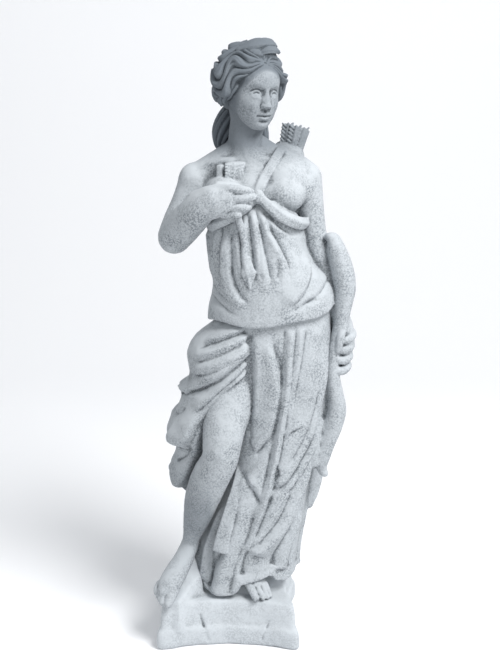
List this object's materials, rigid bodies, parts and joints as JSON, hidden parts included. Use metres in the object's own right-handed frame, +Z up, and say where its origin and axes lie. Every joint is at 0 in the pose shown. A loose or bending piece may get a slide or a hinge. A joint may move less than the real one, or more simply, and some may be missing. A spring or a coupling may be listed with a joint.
{
  "type": "goddess statue",
  "caption": "Cast-stone garden figure of a draped huntress goddess with bow, arrow and quiver, standing on a rock plinth.",
  "frame": {"origin": "centre of the plinth's flat underside, midway between the corner tips", "axes": "+Z up, the figure and the plinth's front face -Y, +X is towards the bow at the figure's left side"},
  "size_m": [0.4488, 0.2864, 1.2997],
  "materials": {
    "cast_stone": "matt, fine sandy grain, darker in the folds and hair"
  },
  "bodies": {
    "root": {"goddess_statue": "cast_stone"}
  },
  "joints": []
}
